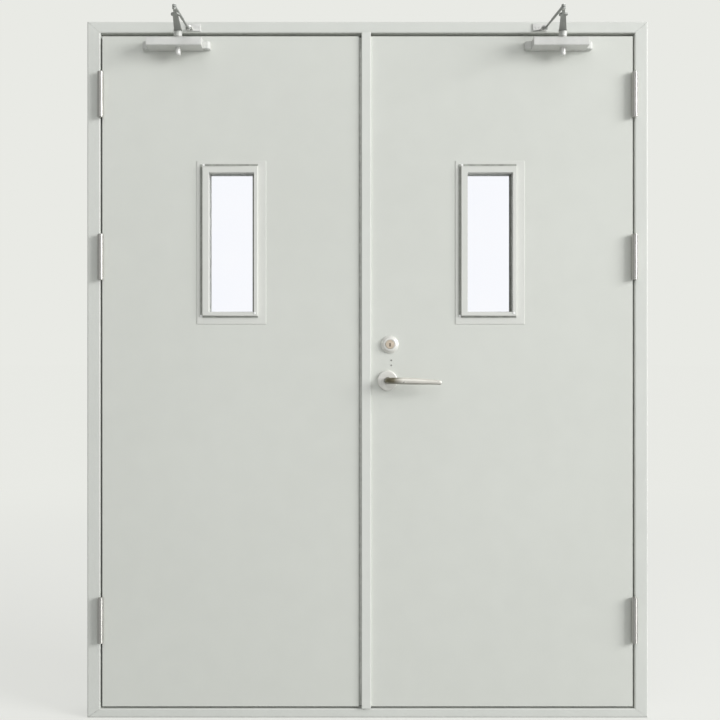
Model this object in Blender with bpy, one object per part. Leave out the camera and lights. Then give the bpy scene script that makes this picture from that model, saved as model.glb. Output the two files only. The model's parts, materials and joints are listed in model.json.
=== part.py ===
"""Steel double fire door: folded four-sided frame, two flush leaves, closers and a lever lock.

Units are metres, +Z up. The origin is on the flat underside of the sill, at mid width and
mid depth. The viewer stands at -Y, on the side that the leaves open towards.
"""
import math

import bmesh
import bpy
from mathutils import Vector

# Frame
FRAME_WIDTH = 1.692
FRAME_HEIGHT = 2.100
FRAME_DEPTH = 0.110
JAMB_FACE = 0.040
HEAD_FACE = 0.0345
SILL_FACE = 0.027
REBATE_DEPTH = 0.058
JAMB_STOP = 0.022
HEAD_STOP = 0.0190
SILL_STOP = 0.0148
FRAME_SHEET = 0.002
WALL_FLANGE = 0.040
SILL_FLANGE = 0.100
FOLD_RADIUS = 0.0028
FOLD_STEPS = 3
SEAL_WIDTH = 0.012
SEAL_THICKNESS = 0.0027
SEAL_SETBACK = 0.005

# Leaves
LEAF_THICKNESS = 0.050
LEAF_SHEET = 0.0015
SIDE_GAP = 0.006
HEAD_GAP = 0.010
SILL_GAP = 0.007
LEFT_FREE_EDGE = -0.026
RIGHT_FREE_EDGE = -0.018

# Meeting strip
STRIP_WIDTH = 0.028
STRIP_STAND = 0.008
STRIP_SHEET = 0.0015
STRIP_FOLD = 0.0018
STRIP_ABOVE_LEAF = 0.0105
STRIP_BELOW_LEAF = 0.004
STRIP_LEG_SETBACK = 0.001

# Vision panels
LEFT_PANEL_REACH = 0.384
RIGHT_PANEL_REACH = 0.3875
PANEL_DROP = 0.6223
PANEL_WIDTH = 0.135
PANEL_HEIGHT = 0.4187
GLASS_THICKNESS = 0.020
GLASS_COVER = 0.012
BEAD_WIDTH = 0.020
BEAD_NARROW = 0.012
BEAD_STAND = 0.0098
BEAD_LEG = 0.004
FLANGE_WIDTH = 0.037
FLANGE_STAND = 0.0016

# Hinges
TOP_HINGE_DROP = 0.1775
MIDDLE_HINGE_DROP = 0.6665
BOTTOM_HINGE_RISE = 0.262
HINGE_LENGTH = 0.136
HINGE_RADIUS = 0.009
HINGE_PIN = 0.004
HINGE_PLATE = 0.0024
HINGE_PLATE_DEPTH = 0.054
HINGE_STAND = 0.011
KNUCKLES = 5

# Closers
LEFT_SPINDLE_REACH = 0.2365
RIGHT_SPINDLE_REACH = 0.220
SPINDLE_STAND = 0.030
SPINDLE_RADIUS = 0.006
BODY_LENGTH = 0.1635
BODY_OFFSET = 0.0085
BODY_DROP = 0.0179
BODY_HEIGHT = 0.0263
BODY_DEPTH = 0.058
BODY_SLOPE = 0.001
END_CAP_LENGTH = 0.0205
HINGE_CAP_LENGTH = 0.0195
CAP_DEPTH = 0.020
CAP_INSET = 0.0005
BOSS_RADIUS = 0.0100
BOSS_HEIGHT = 0.006
LOWER_CAP_RADIUS = 0.009
LOWER_CAP_DROP = 0.0225
HUB_RADIUS = 0.0125
ARM_LIFT = 0.0052
ARM_THICKNESS = 0.0045
ARM_DISC_RADIUS = 0.0125
ARM_DISC_PART = 0.74
LEFT_ELBOW_REACH = 0.2610
RIGHT_ELBOW_REACH = 0.2563
ELBOW_STAND = 0.219
ELBOW_EYE = 0.0058
FOREARM_LIFT = 0.0011
ROD_HALF_HEIGHT = 0.0030
ROD_HALF_WIDTH = 0.0032
SLEEVE_HALF_HEIGHT = 0.0034
SLEEVE_HALF_WIDTH = 0.0041
FOREARM_EYE = 0.0080
LEFT_SHOE_REACH = 0.268
RIGHT_SHOE_REACH = 0.273
SHOE_STAND = 0.030
SHOE_PIN = 0.0028
SHOE_PLATE_HEIGHT = 0.022
SHOE_PLATE_OUTER = 0.010
SHOE_PLATE_INNER = 0.032
SHOE_PLATE_THICKNESS = 0.003
LUG_RADIUS = 0.0095
LUG_THICKNESS = 0.004

# Lever set and lock
LEVER_BACKSET = 0.0785
LEVER_Z = 1.017
LEVER_ROSE_RADIUS = 0.0305
ROSE_THICKNESS = 0.008
LEVER_REACH = 0.156
LEVER_STAND = 0.050
LEVER_BEND = 0.016
NECK_RADIUS = 0.0095
GRIP_RADIUS = 0.0106
TIP_RADIUS = 0.0066
TIP_DROP = 0.005
SPINDLE_BAR = 0.004
CYLINDER_BACKSET = 0.0855
CYLINDER_RISE = 0.109
CYLINDER_RADIUS = 0.0130
CYLINDER_ROSE_RADIUS = 0.0265
CYLINDER_ROSE_THICKNESS = 0.0115
CYLINDER_STAND = 0.0020
KEYWAY_WIDTH = 0.0034
KEYWAY_HEIGHT = 0.0100
KEYWAY_DEPTH = 0.008
FACEPLATE_WIDTH = 0.023
FACEPLATE_THICKNESS = 0.003
FACEPLATE_BELOW = 0.070
FACEPLATE_ABOVE = 0.180
CASE_INSET = 0.015
CASE_REACH = 0.112
CASE_THICKNESS = 0.016
STRIKE_BELOW = 0.040
STRIKE_ABOVE = 0.150

# Fits
SEAT = 0.0003
RUNNING = 0.0005
MITRE_GAP = 0.0002

# Values that follow from the sizes above
HALF_WIDTH = FRAME_WIDTH / 2
FACE_Y = -FRAME_DEPTH / 2
BACK_Y = FRAME_DEPTH / 2
STOP_Y = FACE_Y + REBATE_DEPTH
OPENING_HALF = HALF_WIDTH - JAMB_FACE
OPENING_TOP = FRAME_HEIGHT - HEAD_FACE
LEAF_BACK_Y = FACE_Y + LEAF_THICKNESS
LEAF_MID_Y = FACE_Y + LEAF_THICKNESS / 2
LEAF_BOTTOM = SILL_FACE + SILL_GAP
LEAF_TOP = OPENING_TOP - HEAD_GAP
HINGE_EDGE = OPENING_HALF - SIDE_GAP
HINGE_X = OPENING_HALF - SIDE_GAP / 2
HINGE_Y = FACE_Y - HINGE_STAND
HINGE_HEIGHTS = {
    "top": LEAF_TOP - TOP_HINGE_DROP,
    "middle": LEAF_TOP - MIDDLE_HINGE_DROP,
    "bottom": LEAF_BOTTOM + BOTTOM_HINGE_RISE,
}
PANEL_Z = LEAF_TOP - PANEL_DROP
BODY_TOP = LEAF_TOP - BODY_DROP
BODY_BOTTOM = BODY_TOP - BODY_HEIGHT
ARM_LOW = LEAF_TOP + ARM_LIFT
ARM_TOP = ARM_LOW + ARM_THICKNESS
FOREARM_Z = ARM_TOP + FOREARM_LIFT + ROD_HALF_HEIGHT
LEVER_X = RIGHT_FREE_EDGE + LEVER_BACKSET
CYLINDER_X = RIGHT_FREE_EDGE + CYLINDER_BACKSET
CYLINDER_Z = LEVER_Z + CYLINDER_RISE
FACEPLATE_Z = (LEVER_Z - FACEPLATE_BELOW, LEVER_Z + FACEPLATE_ABOVE)
STRIKE_Z = (LEVER_Z - STRIKE_BELOW, LEVER_Z + STRIKE_ABOVE)


def clear_scene():
    for old in list(bpy.data.objects):
        bpy.data.objects.remove(old, do_unlink=True)


def make_material(name, colour, roughness, metallic):
    material = bpy.data.materials.new(name)
    material.use_nodes = True
    shader = material.node_tree.nodes["Principled BSDF"]
    shader.inputs["Base Color"].default_value = (*colour, 1.0)
    shader.inputs["Roughness"].default_value = roughness
    shader.inputs["Metallic"].default_value = metallic
    material.diffuse_color = (*colour, 1.0)
    return material


def hang(obj, parent):
    """Make an object follow an empty and stay where it was modelled."""
    obj.parent = parent
    obj.matrix_parent_inverse = parent.matrix_basis.inverted()


def finish_object(name, bm, material, parent=None, smooth=False):
    """Turn a bmesh into a named object, its faces pointing out."""
    bmesh.ops.remove_doubles(bm, verts=bm.verts, dist=0.000001)
    bmesh.ops.recalc_face_normals(bm, faces=bm.faces)
    mesh = bpy.data.meshes.new(name)
    bm.to_mesh(mesh)
    bm.free()
    if smooth:
        mesh.shade_smooth()
        mesh.set_sharp_from_angle(angle=math.radians(35))
    if material is not None:
        mesh.materials.append(material)
    obj = bpy.data.objects.new(name, mesh)
    bpy.context.collection.objects.link(obj)
    if parent is not None:
        hang(obj, parent)
    return obj


def add_axis(name, location):
    empty = bpy.data.objects.new(name, None)
    empty.location = location
    bpy.context.collection.objects.link(empty)
    return empty


def add_box(bm, x, y, z):
    """A box from its three (low, high) spans."""
    result = bmesh.ops.create_cube(bm, size=1.0)
    for vert in result["verts"]:
        vert.co.x = x[0] if vert.co.x < 0 else x[1]
        vert.co.y = y[0] if vert.co.y < 0 else y[1]
        vert.co.z = z[0] if vert.co.z < 0 else z[1]
    return result["verts"]


def add_prism(bm, outline, low, high, axis):
    """A closed outline raised along one axis between two planes."""
    def place(point, level):
        if axis == "x":
            return (level, point[0], point[1])
        if axis == "y":
            return (point[0], level, point[1])
        return (point[0], point[1], level)

    first = [bm.verts.new(place(point, low)) for point in outline]
    second = [bm.verts.new(place(point, high)) for point in outline]
    count = len(outline)
    for i in range(count):
        j = (i + 1) % count
        bm.faces.new((first[i], first[j], second[j], second[i]))
    bm.faces.new(first)
    bm.faces.new(second)


def add_loft(bm, sections):
    """Closed sections of equal count joined one to the next, with a face at each end."""
    rings = [[bm.verts.new(point) for point in section] for section in sections]
    for lower, upper in zip(rings, rings[1:]):
        for i in range(len(lower)):
            j = (i + 1) % len(lower)
            bm.faces.new((lower[i], lower[j], upper[j], upper[i]))
    bm.faces.new(rings[0])
    bm.faces.new(rings[-1])


def circle_points(centre, radius, segments, start=0.0):
    points = []
    for i in range(segments):
        angle = start + 2 * math.pi * i / segments
        points.append((centre[0] + radius * math.cos(angle), centre[1] + radius * math.sin(angle)))
    return points


def capsule_points(a, b, radius_a, radius_b, segments):
    """Plan of a tapered bar with round ends, from a to b."""
    heading = math.atan2(b[1] - a[1], b[0] - a[0])
    points = []
    for centre, radius, start in ((b, radius_b, -math.pi / 2), (a, radius_a, math.pi / 2)):
        for i in range(segments + 1):
            angle = heading + start + math.pi * i / segments
            points.append((centre[0] + radius * math.cos(angle), centre[1] + radius * math.sin(angle)))
    return points


def add_turned(bm, profile, centre, segments, axis):
    """A solid of revolution from (radius, level) pairs that start and end on the axis."""
    rings = []
    for radius, level in profile:
        if radius == 0:
            points = [(centre[0], centre[1])]
        else:
            points = circle_points(centre, radius, segments)
        ring = []
        for point in points:
            if axis == "y":
                ring.append(bm.verts.new((point[0], level, point[1])))
            elif axis == "x":
                ring.append(bm.verts.new((level, point[0], point[1])))
            else:
                ring.append(bm.verts.new((point[0], point[1], level)))
        rings.append(ring)
    for lower, upper in zip(rings, rings[1:]):
        for i in range(segments):
            j = (i + 1) % segments
            if len(lower) == 1:
                bm.faces.new((lower[0], upper[i], upper[j]))
            elif len(upper) == 1:
                bm.faces.new((lower[i], lower[j], upper[0]))
            else:
                bm.faces.new((lower[i], lower[j], upper[j], upper[i]))


def add_sweep(bm, path, radii, segments, up):
    """Round rings carried along a path, closed by a flat face at each end."""
    rings = []
    for i, point in enumerate(path):
        before = path[max(i - 1, 0)]
        after = path[min(i + 1, len(path) - 1)]
        tangent = (Vector(after) - Vector(before)).normalized()
        side = tangent.cross(Vector(up)).normalized()
        top = side.cross(tangent)
        wide, tall = radii[i]
        ring = []
        for k in range(segments):
            angle = 2 * math.pi * k / segments
            offset = side * wide * math.cos(angle) + top * tall * math.sin(angle)
            ring.append(bm.verts.new(Vector(point) + offset))
        rings.append(ring)
    for lower, upper in zip(rings, rings[1:]):
        for i in range(segments):
            j = (i + 1) % segments
            bm.faces.new((lower[i], lower[j], upper[j], upper[i]))
    bm.faces.new(rings[0])
    bm.faces.new(rings[-1])


def add_cutter(name, bm):
    cutter = finish_object(name, bm, None)
    cutter.hide_render = True
    cutter.display_type = "WIRE"
    return cutter


def combine(obj, cutter, operation):
    modifier = obj.modifiers.new(cutter.name, "BOOLEAN")
    modifier.operation = operation
    modifier.solver = "EXACT"
    modifier.object = cutter


def cut_box(obj, name, x, y, z):
    bm = bmesh.new()
    add_box(bm, x, y, z)
    combine(obj, add_cutter(name, bm), "DIFFERENCE")


def cut_round(obj, name, centre, radius, low, high, axis, segments=20):
    bm = bmesh.new()
    add_prism(bm, circle_points(centre, radius, segments), low, high, axis)
    combine(obj, add_cutter(name, bm), "DIFFERENCE")


def join_shape(obj, name, bm):
    combine(obj, add_cutter(name, bm), "UNION")


# Frame
def folded_section(path, sheet):
    """Closed outline of a sheet folded along a path of centre-line corners, with round bends."""
    line = [Vector(path[0])]
    for i in range(1, len(path) - 1):
        corner = Vector(path[i])
        back = (Vector(path[i - 1]) - corner).normalized()
        ahead = (Vector(path[i + 1]) - corner).normalized()
        centre = corner + (back + ahead) * FOLD_RADIUS
        for k in range(FOLD_STEPS + 1):
            turn = math.pi / 2 * k / FOLD_STEPS
            line.append(centre - ahead * FOLD_RADIUS * math.cos(turn) - back * FOLD_RADIUS * math.sin(turn))
    line.append(Vector(path[-1]))
    left = []
    right = []
    for i, point in enumerate(line):
        normals = []
        if i > 0:
            run = (point - line[i - 1]).normalized()
            normals.append(Vector((-run.y, run.x)))
        if i < len(line) - 1:
            run = (line[i + 1] - point).normalized()
            normals.append(Vector((-run.y, run.x)))
        normal = sum(normals, Vector((0, 0))).normalized()
        reach = sheet / 2 / normal.dot(normals[0])
        left.append(tuple(point + normal * reach))
        right.append(tuple(point - normal * reach))
    return left + right[::-1]


def member_path(face, stop, flange, back_flange):
    """Centre line of a frame section: distance in from the outer edge, then depth."""
    half = FRAME_SHEET / 2
    path = [(half, FACE_Y + flange), (half, FACE_Y + half), (face - half, FACE_Y + half)]
    path += [(face - half, STOP_Y + half), (face + stop - half, STOP_Y + half)]
    path += [(face + stop - half, BACK_Y - half)]
    if back_flange is None:
        path.append((half, BACK_Y - half))
    else:
        path += [(half, BACK_Y - half), (half, BACK_Y - back_flange)]
    return path


def add_member(bm, outline, place):
    """A frame length between its two mitred ends; place gives both end points of an outline point."""
    ends = [place(u, depth) for u, depth in outline]
    add_loft(bm, [[pair[0] for pair in ends], [pair[1] for pair in ends]])


def build_frame(paint):
    jamb_outline = folded_section(member_path(JAMB_FACE, JAMB_STOP, WALL_FLANGE, WALL_FLANGE), FRAME_SHEET)
    for name, side in (("left_jamb", -1), ("right_jamb", 1)):
        def place_jamb(u, depth, side=side):
            x = side * (HALF_WIDTH - u)
            low = u * SILL_FACE / JAMB_FACE + MITRE_GAP
            high = FRAME_HEIGHT - u * HEAD_FACE / JAMB_FACE - MITRE_GAP
            return (x, depth, low), (x, depth, high)

        bm = bmesh.new()
        add_member(bm, jamb_outline, place_jamb)
        finish_object(name, bm, paint)

    def place_head(u, depth):
        reach = HALF_WIDTH - u * JAMB_FACE / HEAD_FACE - MITRE_GAP
        return (-reach, depth, FRAME_HEIGHT - u), (reach, depth, FRAME_HEIGHT - u)

    bm = bmesh.new()
    head_path = member_path(HEAD_FACE, HEAD_STOP, WALL_FLANGE, WALL_FLANGE)
    add_member(bm, folded_section(head_path, FRAME_SHEET), place_head)
    finish_object("head", bm, paint)

    def place_sill(u, depth):
        reach = HALF_WIDTH - u * JAMB_FACE / SILL_FACE - MITRE_GAP
        return (-reach, depth, u), (reach, depth, u)

    bm = bmesh.new()
    sill_path = member_path(SILL_FACE, SILL_STOP, SILL_FLANGE, None)
    sill_path[-1] = (0.004, BACK_Y - FRAME_SHEET / 2)
    add_member(bm, folded_section(sill_path, FRAME_SHEET), place_sill)
    finish_object("sill", bm, paint)


def build_seal(rubber):
    """One soft strip on the face of the stop, up a jamb, over the head and down again."""
    outer = OPENING_HALF - SEAL_SETBACK
    inner = outer - SEAL_WIDTH
    top = OPENING_TOP - SEAL_SETBACK
    low = SILL_FACE + SILL_STOP + RUNNING
    outline = [(-outer, low), (-inner, low), (-inner, top - SEAL_WIDTH), (inner, top - SEAL_WIDTH)]
    outline += [(inner, low), (outer, low), (outer, top), (-outer, top)]
    bm = bmesh.new()
    add_prism(bm, outline, STOP_Y - SEAT - SEAL_THICKNESS, STOP_Y - SEAT, "y")
    finish_object("frame_seal", bm, rubber)


# Leaves
def build_sheet(name, parent, paint, x_span, panel_x, front, free_side, recess, holes):
    """A pressed tray: one flat face with a fold all round, cut for the panel and the lock."""
    if front:
        y_span = (FACE_Y, LEAF_MID_Y - SEAT / 2)
        hollow = (FACE_Y + LEAF_SHEET, LEAF_MID_Y + 0.01)
    else:
        y_span = (LEAF_MID_Y + SEAT / 2, LEAF_BACK_Y)
        hollow = (LEAF_MID_Y - 0.01, LEAF_BACK_Y - LEAF_SHEET)
    bm = bmesh.new()
    add_box(bm, x_span, y_span, (LEAF_BOTTOM, LEAF_TOP))
    obj = finish_object(name, bm, paint)
    inside_x = (x_span[0] + LEAF_SHEET, x_span[1] - LEAF_SHEET)
    inside_z = (LEAF_BOTTOM + LEAF_SHEET, LEAF_TOP - LEAF_SHEET)
    cut_box(obj, name + "_hollow", inside_x, hollow, inside_z)
    reach_x = PANEL_WIDTH / 2 + BEAD_LEG + RUNNING
    reach_z = PANEL_HEIGHT / 2 + BEAD_LEG + RUNNING
    window_x = (panel_x - reach_x, panel_x + reach_x)
    through = (FACE_Y - 0.01, LEAF_BACK_Y + 0.01)
    cut_box(obj, name + "_window", window_x, through, (PANEL_Z - reach_z, PANEL_Z + reach_z))
    half = FACEPLATE_WIDTH / 2 + SEAT
    recess_x = (free_side - 0.004, free_side + 0.004)
    recess_z = (recess[0] - SEAT, recess[1] + SEAT)
    cut_box(obj, name + "_recess", recess_x, (LEAF_MID_Y - half, LEAF_MID_Y + half), recess_z)
    for label, centre, radius in holes:
        cut_round(obj, name + label, centre, radius, through[0], through[1], "y")
    hang(obj, parent)
    return obj


def panel_profile(front, bead):
    """Section of the glazing trim: distance out from the sight line, then depth."""
    face = -LEAF_THICKNESS / 2
    glass = -GLASS_THICKNESS / 2 - SEAT
    points = [(0.0, glass), (0.0, face - 0.0052), (0.0022, face - 0.0084), (0.0055, face - BEAD_STAND)]
    points += [(bead - 0.0055, face - BEAD_STAND), (bead - 0.0022, face - 0.0084)]
    points += [(bead, face - 0.0052), (bead, face - 0.0021)]
    points += [(FLANGE_WIDTH - 0.0008, face - FLANGE_STAND), (FLANGE_WIDTH, face - 0.0009)]
    points += [(FLANGE_WIDTH, face - SEAT), (BEAD_LEG, face - SEAT), (BEAD_LEG, glass)]
    turn = 1 if front else -1
    return [(reach, LEAF_MID_Y + turn * depth) for reach, depth in points]


def build_bezel(name, parent, paint, panel_x, front):
    """The trim round the four mitred corners, with its right and bottom beads narrower."""
    wide = panel_profile(front, BEAD_WIDTH)
    narrow = panel_profile(front, BEAD_NARROW)
    bm = bmesh.new()
    corners = []
    for sx, sz in ((-1, -1), (1, -1), (1, 1), (-1, 1)):
        ring = []
        across = narrow if sx > 0 else wide
        upright = narrow if sz < 0 else wide
        for (reach_x, depth), (reach_z, _) in zip(across, upright):
            x = panel_x + sx * (PANEL_WIDTH / 2 + reach_x)
            z = PANEL_Z + sz * (PANEL_HEIGHT / 2 + reach_z)
            ring.append(bm.verts.new((x, depth, z)))
        corners.append(ring)
    count = len(wide)
    for i in range(4):
        here = corners[i]
        there = corners[(i + 1) % 4]
        for k in range(count):
            m = (k + 1) % count
            bm.faces.new((here[k], here[m], there[m], there[k]))
    return finish_object(name, bm, paint, parent)


def build_glass(name, parent, glass, panel_x):
    reach_x = PANEL_WIDTH / 2 + GLASS_COVER
    reach_z = PANEL_HEIGHT / 2 + GLASS_COVER
    y_span = (LEAF_MID_Y - GLASS_THICKNESS / 2, LEAF_MID_Y + GLASS_THICKNESS / 2)
    bm = bmesh.new()
    add_box(bm, (panel_x - reach_x, panel_x + reach_x), y_span, (PANEL_Z - reach_z, PANEL_Z + reach_z))
    finish_object(name, bm, glass, parent)


def build_meeting_strip(parent, paint):
    """Folded strip over the free edge; its legs stop short of the frame that its face laps."""
    x_low = RIGHT_FREE_EDGE
    x_high = RIGHT_FREE_EDGE + STRIP_WIDTH
    front = FACE_Y - STRIP_STAND
    inside = front + STRIP_SHEET + 0.0007
    outline = [(x_low, front + STRIP_FOLD), (x_low + STRIP_FOLD * 0.3, front + STRIP_FOLD * 0.3)]
    outline += [(x_low + STRIP_FOLD, front), (x_high - STRIP_FOLD, front)]
    outline += [(x_high - STRIP_FOLD * 0.3, front + STRIP_FOLD * 0.3), (x_high, front + STRIP_FOLD)]
    outline += [(x_high, inside), (x_low, inside)]
    bm = bmesh.new()
    add_prism(bm, outline, LEAF_BOTTOM - STRIP_BELOW_LEAF, LEAF_TOP + STRIP_ABOVE_LEAF, "z")
    obj = finish_object("meeting_strip", bm, paint)
    leg_z = (LEAF_BOTTOM + STRIP_LEG_SETBACK, LEAF_TOP - STRIP_LEG_SETBACK)
    for label, x in (("_outer_leg", x_low), ("_inner_leg", x_high - STRIP_SHEET)):
        bm = bmesh.new()
        add_box(bm, (x, x + STRIP_SHEET), (front + STRIP_SHEET, FACE_Y - SEAT), leg_z)
        join_shape(obj, "meeting_strip" + label, bm)
    hang(obj, parent)


# Hinges
def knuckle_spans(z_centre):
    length = HINGE_LENGTH / KNUCKLES
    low = z_centre - HINGE_LENGTH / 2
    return [(low + i * length + SEAT / 2, low + (i + 1) * length - SEAT / 2) for i in range(KNUCKLES)]


def build_hinge(prefix, side, z_centre, parent, steel):
    axis = (side * HINGE_X, HINGE_Y)
    z_low = z_centre - HINGE_LENGTH / 2
    z_high = z_centre + HINGE_LENGTH / 2
    plate_front = HINGE_Y + HINGE_RADIUS + RUNNING
    plate_back = FACE_Y + HINGE_PLATE_DEPTH - HINGE_STAND
    spans = knuckle_spans(z_centre)
    for half, first in (("frame", 0), ("leaf", 1)):
        if half == "frame":
            edges = sorted((side * (OPENING_HALF - SEAT), side * (OPENING_HALF - SEAT - HINGE_PLATE)))
        else:
            edges = sorted((side * (HINGE_EDGE + SEAT), side * (HINGE_EDGE + SEAT + HINGE_PLATE)))
        name = prefix + "_hinge_" + half + "_half"
        bm = bmesh.new()
        add_box(bm, edges, (plate_front, plate_back), (z_low, z_high))
        obj = finish_object(name, bm, steel, smooth=True)
        for i in range(first, KNUCKLES, 2):
            bm = bmesh.new()
            add_prism(bm, circle_points(axis, HINGE_RADIUS, 24), spans[i][0], spans[i][1], "z")
            join_shape(obj, name + "_knuckle_" + str(i), bm)
            bm = bmesh.new()
            add_box(bm, edges, (HINGE_Y, plate_front + 0.001), spans[i])
            join_shape(obj, name + "_web_" + str(i), bm)
        if half == "frame":
            bm = bmesh.new()
            add_prism(bm, circle_points(axis, HINGE_PIN, 16), z_low + 0.002, z_high - 0.002, "z")
            join_shape(obj, name + "_pin", bm)
        else:
            cut_round(obj, name + "_bore", axis, HINGE_PIN + RUNNING, z_low - 0.01, z_high + 0.01, "z", 16)
            hang(obj, parent)


# Closers
def closer_section(front_in, edge_in):
    """Section of the closer housing, drawn in at the front and at the top and bottom edges."""
    back = FACE_Y - SEAT
    front = FACE_Y - BODY_DEPTH + front_in
    top = BODY_TOP - edge_in
    low = BODY_BOTTOM + edge_in
    points = [(back, low - BODY_SLOPE), (back, top)]
    radius = 0.006
    for i in range(5):
        angle = math.pi / 2 * i / 4
        points.append((front + radius - radius * math.sin(angle), top - radius + radius * math.cos(angle)))
    radius = 0.003
    for i in range(4):
        angle = math.pi / 2 * i / 3
        points.append((front + radius - radius * math.cos(angle), low + radius - radius * math.sin(angle)))
    return points


def build_closer_cap(name, parent, paint, seat_x, length):
    """Low moulded end well behind the housing front, rounded off towards its outer face.

    The length is signed away from the housing.
    """
    setback = BODY_DEPTH - CAP_DEPTH
    stations = [(0.0, 0.0, 0.0), (0.55, 0.0, 0.0), (0.74, 0.0011, 0.0004), (0.89, 0.0036, 0.0015)]
    stations += [(0.97, 0.0066, 0.0029), (1.0, 0.0092, 0.0044)]
    sections = []
    for part, front_in, edge_in in stations:
        x = seat_x + length * part
        outline = closer_section(setback + front_in, CAP_INSET + edge_in)
        sections.append([(x, y, z) for y, z in outline])
    bm = bmesh.new()
    add_loft(bm, sections)
    finish_object(name, bm, paint, parent, smooth=True)


def build_closer_body(prefix, side, spindle, parent, paint):
    """Housing with the boss and spindle above it and the round valve cap below."""
    name = prefix + "_closer_body"
    middle = spindle[0] - BODY_OFFSET
    bm = bmesh.new()
    add_prism(bm, closer_section(0.0, 0.0), middle - BODY_LENGTH / 2, middle + BODY_LENGTH / 2, "x")
    body = finish_object(name, bm, paint, smooth=True)
    boss_top = BODY_TOP + BOSS_HEIGHT
    boss = [(0.0, BODY_TOP - 0.004), (BOSS_RADIUS, BODY_TOP - 0.004), (BOSS_RADIUS, boss_top)]
    boss += [(SPINDLE_RADIUS, boss_top), (SPINDLE_RADIUS, ARM_TOP - 0.003), (0.0, ARM_TOP - 0.003)]
    bm = bmesh.new()
    add_turned(bm, boss, spindle, 24, "z")
    join_shape(body, name + "_spindle", bm)
    low = BODY_BOTTOM - LOWER_CAP_DROP
    cap = [(0.0, low), (LOWER_CAP_RADIUS - 0.0028, low), (LOWER_CAP_RADIUS - 0.0006, low + 0.0026)]
    cap += [(LOWER_CAP_RADIUS, low + 0.006), (LOWER_CAP_RADIUS, BODY_BOTTOM + 0.004)]
    cap.append((0.0, BODY_BOTTOM + 0.004))
    bm = bmesh.new()
    add_turned(bm, cap, spindle, 24, "z")
    join_shape(body, name + "_lower_cap", bm)
    hang(body, parent)
    reach = BODY_LENGTH / 2 + SEAT
    cap_name = prefix + "_closer_end_cap"
    build_closer_cap(cap_name, parent, paint, middle - side * reach, -side * END_CAP_LENGTH)
    cap_name = prefix + "_closer_hinge_cap"
    build_closer_cap(cap_name, parent, paint, middle + side * reach, side * HINGE_CAP_LENGTH)


def build_main_arm(prefix, spindle, elbow, steel):
    """Flat bar that narrows from a deep hub to a round boss, and on to the elbow eye."""
    name = prefix + "_main_arm"
    axis = add_axis(name + "_axis", (spindle[0], spindle[1], ARM_TOP))
    run = Vector((elbow[0] - spindle[0], elbow[1] - spindle[1]))
    disc = tuple(Vector(spindle) + run * ARM_DISC_PART)
    bm = bmesh.new()
    hub_low = BODY_TOP + BOSS_HEIGHT + RUNNING
    add_prism(bm, circle_points(spindle, HUB_RADIUS, 24), hub_low, ARM_TOP, "z")
    arm = finish_object(name, bm, steel, smooth=True)
    pieces = (
        ("_bar", capsule_points(spindle, disc, 0.0113, 0.0072, 6)),
        ("_disc", circle_points(disc, ARM_DISC_RADIUS, 24)),
        ("_tip", capsule_points(disc, elbow, 0.0042, 0.0040, 4)),
        ("_eye", circle_points(elbow, ELBOW_EYE, 20)),
    )
    for label, outline in pieces:
        bm = bmesh.new()
        add_prism(bm, outline, ARM_LOW, ARM_TOP, "z")
        join_shape(arm, name + label, bm)
    cut_round(arm, name + "_bore", spindle, SPINDLE_RADIUS + SEAT, BODY_TOP, ARM_TOP - 0.003 + SEAT, "z", 20)
    hang(arm, axis)


def build_forearm(prefix, shoe, elbow, steel):
    """Rod screwed into a sleeve, with a flat eye at each end."""
    name = prefix + "_forearm"
    axis = add_axis(name + "_axis", (shoe[0], shoe[1], FOREARM_Z))
    run = Vector((elbow[0] - shoe[0], elbow[1] - shoe[1]))
    bm = bmesh.new()
    add_prism(bm, circle_points(shoe, FOREARM_EYE, 20), FOREARM_Z - 0.0028, FOREARM_Z + 0.0028, "z")
    fore = finish_object(name, bm, steel, smooth=True)
    bm = bmesh.new()
    add_prism(bm, circle_points(elbow, ELBOW_EYE, 20), FOREARM_Z - 0.0030, FOREARM_Z + 0.0034, "z")
    join_shape(fore, name + "_elbow_eye", bm)
    lengths = (
        ("_rod", 0.03, 0.70, ROD_HALF_WIDTH, ROD_HALF_HEIGHT),
        ("_sleeve", 0.42, 0.97, SLEEVE_HALF_WIDTH, SLEEVE_HALF_HEIGHT),
    )
    for label, a, b, wide, tall in lengths:
        start = Vector(shoe) + run * a
        end = Vector(shoe) + run * b
        level = FOREARM_Z - ROD_HALF_HEIGHT + tall
        bm = bmesh.new()
        add_sweep(bm, [(*start, level), (*end, level)], [(wide, tall)] * 2, 14, (0, 0, 1))
        join_shape(fore, name + label, bm)
    cut_round(fore, name + "_bore", shoe, SHOE_PIN + SEAT, FOREARM_Z - 0.01, FOREARM_Z + 0.01, "z", 16)
    hang(fore, axis)


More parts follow.
